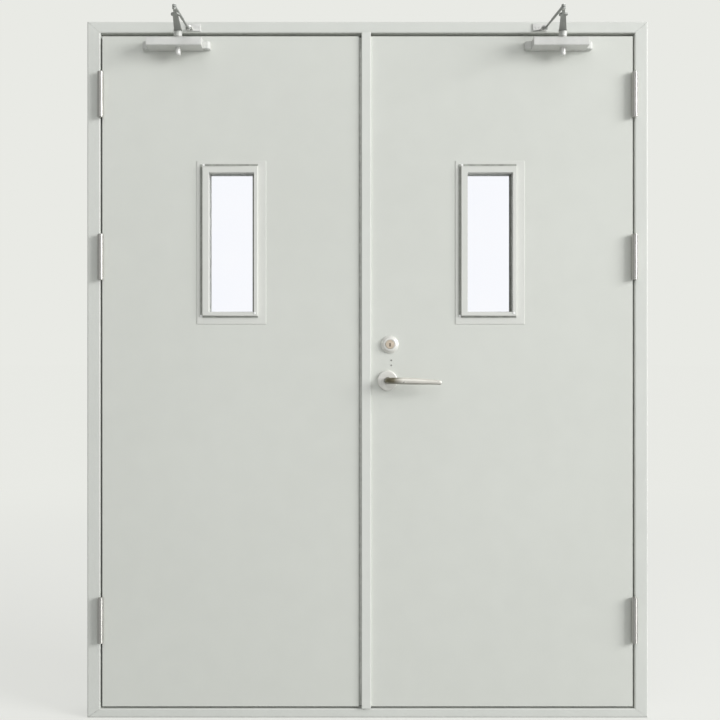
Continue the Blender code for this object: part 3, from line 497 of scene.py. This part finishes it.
# Meeting strip
# A strip of the same sheet folded to a shallow channel and screwed to the edge of the active leaf,
# so that it covers the gap between the leaves. Its folds are painted darker, as painted shade that dulls
# their highlight.
# The edge factor below one lays painted shade on the folds.
strip_coat = powder_coat("strip_powder_coat", shade(224, 225, 221), shade(219, 221, 216),
                         roughness=0.55, radius=0.0005, edge_wear_and_shade=0.72, gloss=0.2)
dress(["meeting_strip"], strip_coat)

# Grey fin seals in the edges of both leaves, all but meeting behind the strip.
FIN_DEPTH = (-0.0506, -0.0490)
FIN_EASE = 0.0002
FIN_SHORT = 0.002
# Where the two tips end, measured from the right leaf.
LEFT_TIP, RIGHT_TIP = 0.0027, 0.0022
fin_grey = rubber("fin_rubber", shade(178, 180, 175))
sheet_low, sheet_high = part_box("left_leaf_front_sheet")
gap_left, gap_right = sheet_high.x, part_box("right_leaf_front_sheet")[0].x
for side, start, end in (("left", gap_left + FIN_EASE, gap_right - LEFT_TIP),
                         ("right", gap_right - RIGHT_TIP, gap_right - FIN_EASE)):
    fin = bar((start, FIN_DEPTH[0], sheet_low.z + FIN_SHORT), (end, FIN_DEPTH[1], sheet_high.z - FIN_SHORT))
    rounded(fin, 0.0005)
    settle(fin, side + "_meeting_fin", fin_grey, side + "_leaf")


# Hinges
# Three butt hinges of satin stainless steel a leaf, with five turned knuckles on a loose pin. The
# turning marks draw a highlight along the barrel, and the plates lie in the rebate.
def brushed(look, colour, stretch=(1, 1, 1)):
    """Fine lines left by turning or brushing, a slow drift, and the colour with both in it."""
    lines = look.noise(900.0, 3.0, stretch)
    cloud = look.noise(30.0, 4.0)
    grain = look.ramp(lines * 0.5 + cloud * 0.5, ((0.36, 0.0), (0.64, 1.0)))
    return lines, cloud, look.mix(grain, times(colour, 0.90), colour)


def satin_steel(name, colour, stretch=(1, 1, 1), roughness=0.26, mark=0.000005, metal=1.0, turned=0.0):
    """Plain satin metal; turned draws its highlights out across the marks."""
    look = Look(name)
    lines, cloud, tone = brushed(look, colour, stretch)
    rough = roughness - 0.06 + 0.12 * cloud
    return look.surface(Base_Color=tone, Metallic=metal, Roughness=rough, Normal=look.bump(lines, mark),
                        Anisotropic=turned, Anisotropic_Rotation=0.25)


def countersunk_screw(radius, depth):
    """A flat-headed screw lying face up at the origin, its cross recess cut with two bars."""
    deselect()
    bpy.ops.mesh.primitive_cone_add(vertices=36, radius1=radius * 0.5, radius2=radius, depth=depth,
                                    location=(0, 0, -depth / 2))
    head = bpy.context.object
    pick_faces(head, lambda middle, normal: normal.z > 0.9)
    bpy.ops.mesh.inset(thickness=radius * 0.06)
    bpy.ops.transform.translate(value=(0, 0, radius * 0.03))
    bpy.ops.object.mode_set(mode="OBJECT")
    bpy.ops.object.transform_apply(location=True, rotation=True, scale=True)
    arm, half = radius * 0.58, radius * 0.12
    carve(head, bar((-arm, -half, -depth * 0.6), (arm, half, depth)))
    carve(head, bar((-half, -arm, -depth * 0.6), (half, arm, depth)))
    even_out(head)
    return head


def sink(piece, place, face, radius, depth):
    """Cut a countersink for one screw into a plate."""
    deselect()
    bpy.ops.mesh.primitive_cone_add(vertices=36, radius1=radius * 0.5, radius2=radius * 1.04,
                                    depth=depth * 1.04)
    cutter = bpy.context.object
    cutter.data.transform(facing(place, face) @ Matrix.Translation((0, 0, -depth * 0.49)))
    carve(piece, cutter)


def copied(model, name, material, place, face, body, turn=0.0):
    """A copy with its own mesh, turned towards a face and brought to its place on a body."""
    piece = bpy.data.objects.new(name, model.data.copy())
    piece.data.name = name
    bpy.context.scene.collection.objects.link(piece)
    piece.data.transform(facing(place, face) @ Matrix.Rotation(turn, 4, "Z"))
    piece.data.materials.clear()
    piece.data.materials.append(material)
    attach(piece, body)


hinge_steel = satin_steel("hinge_steel", (0.62, 0.61, 0.58, 1.0), (0.05, 0.05, 1.0), roughness=0.40,
                          turned=0.88)
screw_steel = satin_steel("screw_steel", (0.74, 0.74, 0.72, 1.0), roughness=0.34, mark=0.00001)
SCREW_RADIUS = 0.0041
SCREW_DEPTH = 0.0019
SCREW_SUNK = 0.00012
# Depth in the rebate and height over the middle of the hinge, for each screw of a plate.
SCREW_PLACES = ((-0.041, -0.052), (-0.024, -0.018), (-0.024, 0.018), (-0.041, 0.052))
PLATE_FACE_X = {"frame_half": 0.8033, "leaf_half": 0.8027}
PIN_X = 0.803
PIN_Y = -0.066
PIN_END_RADIUS = 0.0058
PIN_END_HEIGHT = 0.0016
plate_screw = countersunk_screw(SCREW_RADIUS, SCREW_DEPTH)
pin_end = domed_rivet(PIN_END_RADIUS, PIN_END_HEIGHT)
for side, out in (("left", 1.0), ("right", -1.0)):
    for level in ("top", "middle", "bottom"):
        for half, body, inward in (("frame_half", "frame", out), ("leaf_half", side + "_leaf", -out)):
            name = side + "_" + level + "_hinge_" + half
            low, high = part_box(name)
            plate = refine(name, hinge_steel, 0.00025)
            for number, (y, rise) in enumerate(SCREW_PLACES):
                place = Vector((-out * PLATE_FACE_X[half], y, (low.z + high.z) / 2 + rise))
                sink(plate, place, (inward, 0, 0), SCREW_RADIUS, SCREW_DEPTH)
                copied(plate_screw, name + "_screw_" + str(number + 1), screw_steel,
                       place - Vector((inward * SCREW_SUNK, 0, 0)), (inward, 0, 0), body,
                       turn=0.4 + 1.1 * number)
            if half == "frame_half":
                for label, z, up in (("upper", high.z, 1), ("lower", low.z, -1)):
                    copied(pin_end, name + "_" + label + "_pin_end", hinge_steel, (-out * PIN_X, PIN_Y, z),
                           (0, 0, up), body)
bpy.data.objects.remove(pin_end)


# Overhead closers
# Each closer is an aluminium housing lacquered silver with a moulded end cap at either end; a steel
# spindle turns in it, and the valve cap sits below. The arm is pressed steel, lacquered a darker grey that is
# painted shade for its underside.
def lacquer(name, colour, roughness=0.38, flake=0.25, bare_below=None):
    """Sprayed silver lacquer; below the given height the turned steel of the spindle stays bare."""
    look = Look(name)
    speck = look.noise(1900.0, 2.0)
    cloud = look.noise(35.0, 4.0)
    tone = look.mix(look.ramp(cloud, ((0.36, 0.0), (0.66, 1.0))), times(colour, 0.93), colour)
    soft, edge = look.edge(0.0008)
    tone = look.mix(look.ramp(edge, ((0.02, 0.0), (0.3, 0.6))), tone, times(colour, 1.10))
    if bare_below is not None:
        height = look.part(look.place(), 2)
        turned = look.ramp((height - bare_below) * 400.0 + 0.5, ((0.0, 1.0), (1.0, 0.0)))
        tone = look.mix(turned, tone, shade(207, 208, 204))
    normal = look.bump(speck, 0.00002, soft)
    rough = roughness - 0.05 + 0.10 * cloud
    return look.surface(Base_Color=tone, Metallic=flake, Roughness=rough, Normal=normal)


ELBOW_X = {"left": -0.5420, "right": 0.5467}
ELBOW_INSET = 0.0058
ARM_THICKNESS = 0.0045
# A darker grey than the housing, as painted shade on the undersides of the arms seen from below.
ARM_GREY_PAINTED_SHADE = shade(160, 162, 158)
# The lacquer ends this far below the arm, and the spindle is bare from there on.
LACQUER_END = 0.0015
SPINDLE_HEAD_RADIUS = 0.0062
SPINDLE_HEAD_HEIGHT = 0.0008
SOCKET_RADIUS = 0.0026
SOCKET_DEPTH = 0.0012
ELBOW_HEAD_RADIUS = 0.0046
ELBOW_HEAD_HEIGHT = 0.0011
SHOE_FACE_Y = -0.0583
SHOE_SCREW_RADIUS = 0.0036
SHOE_SCREW_DEPTH = 0.0016
SHOE_SCREW_SUNK = 0.0001
# Places of the two screws, from the inner end of the shoe, and their share of its height.
SHOE_SCREW_ALONG = (0.0065, 0.0165)
SHOE_SCREW_RISE = 0.55
closer_silver = lacquer("closer_lacquer", shade(224, 224, 221))
cap_grey = lacquer("cap_moulding", shade(211, 212, 208), roughness=0.50, flake=0.0)
arm_silver = lacquer("arm_lacquer_painted_shade", ARM_GREY_PAINTED_SHADE, roughness=0.55, flake=0.15)
arm_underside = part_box("left_main_arm")[1].z - ARM_THICKNESS
spindle_arm = lacquer("spindle_and_arm_painted_shade", ARM_GREY_PAINTED_SHADE, roughness=0.55, flake=0.15,
                      bare_below=arm_underside - LACQUER_END)
finishes = (("closer_body", closer_silver), ("closer_end_cap", cap_grey), ("closer_hinge_cap", cap_grey),
            ("main_arm", spindle_arm), ("forearm", arm_silver))

# The screw that draws the arm down on the spindle has a six-sided socket.
spindle_head = domed_rivet(SPINDLE_HEAD_RADIUS, SPINDLE_HEAD_HEIGHT)
deselect()
bpy.ops.mesh.primitive_cylinder_add(vertices=6, radius=SOCKET_RADIUS, depth=SOCKET_DEPTH,
                                    location=(0, 0, SOCKET_DEPTH))
carve(spindle_head, bpy.context.object)
even_out(spindle_head)
elbow_head = domed_rivet(ELBOW_HEAD_RADIUS, ELBOW_HEAD_HEIGHT)
shoe_screw = countersunk_screw(SHOE_SCREW_RADIUS, SHOE_SCREW_DEPTH)
for side, out in (("left", 1.0), ("right", -1.0)):
    for part, finish in finishes:
        refine(side + "_" + part, finish, 0.0006)

    # Screw on the spindle, and the two heads of the rivet through the elbow.
    spindle = next(joint for joint in frame["joints"] if joint["name"] == side + "_main_arm_turn")["pos_m"]
    arm_low, arm_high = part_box(side + "_main_arm")
    forearm_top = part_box(side + "_forearm")[1].z
    elbow = (ELBOW_X[side], arm_low.y + ELBOW_INSET)
    for model, label, place, up, arm in (
        (spindle_head, "arm_screw", (spindle[0], spindle[1], arm_high.z), 1, "main_arm"),
        (elbow_head, "elbow_lower_head", (*elbow, arm_high.z - ARM_THICKNESS), -1, "main_arm"),
        (elbow_head, "elbow_upper_head", (*elbow, forearm_top), 1, "forearm"),
    ):
        copied(model, side + "_" + label, screw_steel, place, (0, 0, up), side + "_" + arm)

    # Shoe with two countersunk screws into the head of the frame.
    shoe = refine(side + "_closer_shoe", closer_silver, 0.0005)
    low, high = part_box(side + "_closer_shoe")
    inner_x = high.x if side == "left" else low.x
    for number, along in enumerate(SHOE_SCREW_ALONG):
        place = Vector((inner_x - out * along, SHOE_FACE_Y, low.z + (high.z - low.z) * SHOE_SCREW_RISE))
        sink(shoe, place, (0, -1, 0), SHOE_SCREW_RADIUS, SHOE_SCREW_DEPTH)
        copied(shoe_screw, side + "_shoe_screw_" + str(number + 1), screw_steel,
               place + Vector((0, SHOE_SCREW_SUNK, 0)), (0, -1, 0), "frame",
               turn=0.5 + number)
for model in (spindle_head, elbow_head, shoe_screw):
    bpy.data.objects.remove(model)


# Lever set and lock
# Lever and roses are satin nickel over steel, the cylinder is brass; the lever turns in its rose on a
# square spindle, and each rose clips over a screwed base, so no fixing shows on its face.
def satin_with_painted_shade(name, colour, painted_neck_dark, start, end, roughness, metal):
    """Satin metal with a painted dark brown reflection near the spindle and a painted dark reflection on its
    underside.
    """
    look = Look(name)
    lines, cloud, tone = brushed(look, colour, (0.06, 1.0, 1.0))
    # Painted reflection: dark brown near the spindle, fading out along the lever.
    reach = (look.part(look.place(), 0) - start) * (1.0 / (end - start)) + (cloud - 0.5) * 0.25
    tone = look.mix(look.ramp(reach, ((0.0, 0.0), (1.0, 1.0))), painted_neck_dark, tone)
    # Painted reflection: darker on faces that turn downwards.
    down = look.part(look.node("ShaderNodeTexCoord", out="Normal"), 2) * -1.0
    tone = look.mix(look.ramp(down, ((0.30, 0.0), (0.72, 0.85))), tone, (0.30, 0.29, 0.26, 1.0))
    rough = roughness - 0.06 + 0.12 * cloud
    return look.surface(Base_Color=tone, Metallic=metal, Roughness=rough, Normal=look.bump(lines, 0.000004))


def cylinder_brass(name, colour, grease_and_shade, low_y, high_y):
    """Turned brass, nickelled thinly, darkened down in the keyways by grease and dust and by painted shade.
    """
    look = Look(name)
    lines, cloud, tone = brushed(look, colour)
    half = (high_y - low_y) / 2
    depth = look.part(look.place(), 1) - (low_y + half)
    inside = look.node("ShaderNodeMath", {"operation": "ABSOLUTE"}, {0: depth}) * (1.0 / half)
    # Inside the keyways the brass turns dark: grease and dust, and painted shade in the recess.
    tone = look.mix(look.ramp(inside, ((1.0 - 0.0030 / half, 1.0), (1.0 - 0.0014 / half, 0.0))), tone, grease_and_shade)
    rough = 0.24 + 0.12 * cloud
    return look.surface(Base_Color=tone, Metallic=0.7, Roughness=rough, Normal=look.bump(lines, 0.00001))


PAINTED_NECK_X = (0.076, 0.104)
low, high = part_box("lock_cylinder")
nickel = satin_steel("satin_nickel", (0.86, 0.85, 0.81, 1.0), (0.06, 1.0, 1.0), roughness=0.52,
                     metal=0.40)
lever_nickel = satin_with_painted_shade("nickel_with_painted_shade", (0.94, 0.91, 0.84, 1.0), (0.17, 0.15, 0.10, 1.0),
                               *PAINTED_NECK_X, roughness=0.30, metal=0.6)
brass = cylinder_brass("nickelled_brass", (0.90, 0.77, 0.63, 1.0), (0.10, 0.08, 0.05, 1.0), low.y, high.y)
lock_steel = satin_steel("lock_steel", (0.70, 0.70, 0.68, 1.0), (1.0, 1.0, 0.06), roughness=0.32)
for side in ("front", "back"):
    refine(side + "_lever", lever_nickel, 0.0016, steps=3, angle=70)
    refine(side + "_lever_rose", nickel, 0.0040, steps=5, angle=20)
    rose = refine(side + "_cylinder_rose", nickel, 0.0042, steps=5, angle=20)
cylinder = refine("lock_cylinder", brass, 0.0009, steps=3, angle=50)

# Keyed plugs: a shallow ring cut round each plug shows where it turns in the cylinder.
RING_RADIUS = 0.0078
RING_WIDTH = 0.0006
centre = (low + high) / 2
for face_y in (low.y, high.y):
    deselect()
    bpy.ops.mesh.primitive_torus_add(major_segments=48, minor_segments=6, major_radius=RING_RADIUS,
                                     minor_radius=RING_WIDTH, location=(centre.x, face_y, centre.z),
                                     rotation=(math.radians(90), 0, 0))
    carve(cylinder, bpy.context.object)
even_out(cylinder)

# Two dark screw heads in the sheet between the roses hold the lock case.
CASE_SCREW_X = 0.0718
CASE_SCREW_Z = (1.078, 1.063)
CASE_SCREW_RADIUS = 0.0024
CASE_SCREW_HEIGHT = 0.0009
screw_black = satin_steel("blackened_steel", (0.30, 0.30, 0.28, 1.0), roughness=0.40)
case_screw = domed_rivet(CASE_SCREW_RADIUS, CASE_SCREW_HEIGHT)
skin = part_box("right_leaf_front_sheet")[0].y
for number, z in enumerate(CASE_SCREW_Z):
    copied(case_screw, "case_screw_" + str(number + 1), screw_black, (CASE_SCREW_X, skin, z), (0, -1, 0),
           "right_leaf")
bpy.data.objects.remove(case_screw)

# The faceplate shows the noses of latch and bolt, drawn in level with it, and a screw at either end.
LEVER_Z = 1.017
LATCH_Z = (LEVER_Z - 0.014, LEVER_Z + 0.014)
BOLT_Z = (LEVER_Z + 0.090, LEVER_Z + 0.128)
NOSE_HALF = 0.0061
NOSE_EASE = 0.0005
# How far in from the face of the plate the pocket ends and each nose lies.
POCKET_DEPTH = 0.0022
NOSE_SPAN = (0.0003, 0.0019)
FACEPLATE_END = 0.012
STRIKE_FOOT, STRIKE_TOP = 0.010, 0.009
EDGE_SCREW_SUNK = 0.0001
case = refine("lock_case", lock_steel, 0.0002, steps=1)
low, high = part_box("lock_case")
plate_x = low.x
middle_y = (low.y + high.y) / 2
for label, (foot, top) in (("latch", LATCH_Z), ("bolt", BOLT_Z)):
    carve(case, bar((plate_x - 0.001, middle_y - NOSE_HALF - NOSE_EASE, foot),
                    (plate_x + POCKET_DEPTH, middle_y + NOSE_HALF + NOSE_EASE, top)))
    nose = bar((plate_x + NOSE_SPAN[0], middle_y - NOSE_HALF, foot + NOSE_EASE),
               (plate_x + NOSE_SPAN[1], middle_y + NOSE_HALF, top - NOSE_EASE))
    rounded(nose, 0.0006)
    settle(nose, "lock_" + label + "_nose", nickel, "right_leaf")


def edge_screws(plate, label, x, heights, face, body, turn):
    """Sink a screw into a plate at each height, every one turned a little further."""
    for number, z in enumerate(heights):
        place = Vector((x, middle_y, z))
        sink(plate, place, (face, 0, 0), SCREW_RADIUS, SCREW_DEPTH)
        copied(plate_screw, label + "_screw_" + str(number + 1), screw_steel,
               place - Vector((face * EDGE_SCREW_SUNK, 0, 0)), (face, 0, 0), body,
               turn + number)


ends = (low.z + FACEPLATE_END, high.z - FACEPLATE_END)
edge_screws(case, "faceplate", plate_x, ends, -1, "right_leaf", turn=0.3)
strike = refine("strike_plate", lock_steel, 0.0002, steps=1)
low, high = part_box("strike_plate")
ends = (low.z + STRIKE_FOOT, high.z - STRIKE_TOP)
edge_screws(strike, "strike", high.x, ends, 1, "left_leaf", turn=0.7)
bpy.data.objects.remove(plate_screw)


# Room
# A wide pale floor under an even pale sky, with one broad soft light from the right and a weaker one
# from the front above. Right-facing flanks shine and soft shadows fall to the left.
PALE = shade(233, 234, 229)
GLASS_VIEW = (0.965, 0.97, 1.0, 1.0)
# Share of the ground's own colour near the door and far off, and the distances between which it grows.
OWN_COLOUR = (0.64, 1.0)
SHADOW_REACH = (1.6, 6.0)
# Light of the sky from the left, the right, the front and behind.
SKY_LEFT = (0.32, 0.323, 0.32, 1.0)
SKY_RIGHT = (0.67, 0.68, 0.67, 1.0)
SKY_FRONT = (0.66, 0.67, 0.66, 1.0)
SKY_BEHIND = (1.0, 1.0, 0.99, 1.0)


def floor_look(name, colour, sunlit, returned):
    """Pale ground that is mostly its own even colour for the eye, and still takes a soft shadow."""
    look = Look(name)
    tone = look.mix(look.noise(0.6, 2.0), times(colour, 0.99), colour)
    seen = look.node("ShaderNodeLightPath", out="Is Camera Ray")
    through = look.node("ShaderNodeLightPath", out="Is Transmission Ray")
    cloth = look.node("ShaderNodeBsdfDiffuse", None, {"Color": look.mix(seen, returned, sunlit)})
    shown = look.mix(through, tone, GLASS_VIEW)
    even = look.node("ShaderNodeEmission", None, {"Color": shown, "Strength": 1.0})
    away = look.node("ShaderNodeVectorMath", {"operation": "LENGTH"}, {0: look.place()}, out=1)
    kept = look.node("ShaderNodeMapRange", {"interpolation_type": "SMOOTHSTEP"},
                     {0: away, 1: SHADOW_REACH[0], 2: SHADOW_REACH[1], 3: OWN_COLOUR[0], 4: OWN_COLOUR[1]})
    any_ray = look.node("ShaderNodeMath", {"operation": "MINIMUM"}, {0: seen + through, 1: 1.0})
    both = look.node("ShaderNodeMixShader", None, {0: any_ray * kept, 1: cloth, 2: even})
    look.node("ShaderNodeOutputMaterial", None, {"Surface": both})
    return look.material


deselect()
bpy.ops.mesh.primitive_plane_add(size=400.0, location=(0.0, 0.0, -0.0005))
floor = bpy.context.object
floor.name = "floor"
floor.data.materials.append(floor_look("floor_ground", PALE, shade(240, 240, 238), (0.46, 0.465, 0.46, 1.0)))

world = bpy.data.worlds.new("soft_sky")
bpy.context.scene.world = world
sky = Look("soft_sky", world)
direction = sky.node("ShaderNodeTexCoord", out="Generated")
across, along = sky.part(direction, 0), sky.part(direction, 1)
frontal = sky.node("ShaderNodeMath", {"operation": "MAXIMUM"}, {0: along * -1.0, 1: 0.0})
behind = sky.node("ShaderNodeMath", {"operation": "MAXIMUM"}, {0: along, 1: 0.0})
glow = sky.mix(across * 0.5 + 0.5, SKY_LEFT, SKY_RIGHT)
glow = sky.mix(frontal ** 3.0, glow, SKY_FRONT)
glow = sky.mix(behind, glow, SKY_BEHIND)
glow = sky.mix(sky.node("ShaderNodeLightPath", out="Is Transmission Ray"), glow, GLASS_VIEW)
glow = sky.mix(sky.node("ShaderNodeLightPath", out="Is Camera Ray"), glow, PALE)
even_sky = sky.node("ShaderNodeBackground", None, {"Color": glow, "Strength": 1.0})
sky.node("ShaderNodeOutputWorld", None, {"Surface": even_sky})


def soft_light(name, place, aim, size, power):
    """A broad lamp with a soft edge, turned towards a point."""
    data = bpy.data.lights.new(name, "AREA")
    data.shape = "RECTANGLE"
    data.size = size[0]
    data.size_y = size[1]
    data.energy = power
    lamp = bpy.data.objects.new(name, data)
    lamp.location = place
    lamp.rotation_euler = (Vector(aim) - Vector(place)).to_track_quat("-Z", "Y").to_euler()
    bpy.context.scene.collection.objects.link(lamp)


soft_light("key", (12.2, -6.2, 4.9), aim=(0.0, 0.0, 1.1), size=(6.7, 5.9), power=1745.0)
soft_light("front", (-0.6, -5.5, 5.4), aim=(0.0, 0.0, 1.1), size=(3.0, 2.6), power=38.0)

# Camera
# Level, three metres in front of the face and a little left of the middle.
camera_data = bpy.data.cameras.new("camera")
camera_data.lens = 49.72
camera_data.sensor_width = 36.0
camera = bpy.data.objects.new("camera", camera_data)
camera.location = (-0.0226, -3.055, 1.079)
camera.rotation_euler = (math.radians(90), 0.0, 0.0)
bpy.context.scene.collection.objects.link(camera)
bpy.context.scene.camera = camera
bpy.context.scene.view_settings.view_transform = "Standard"
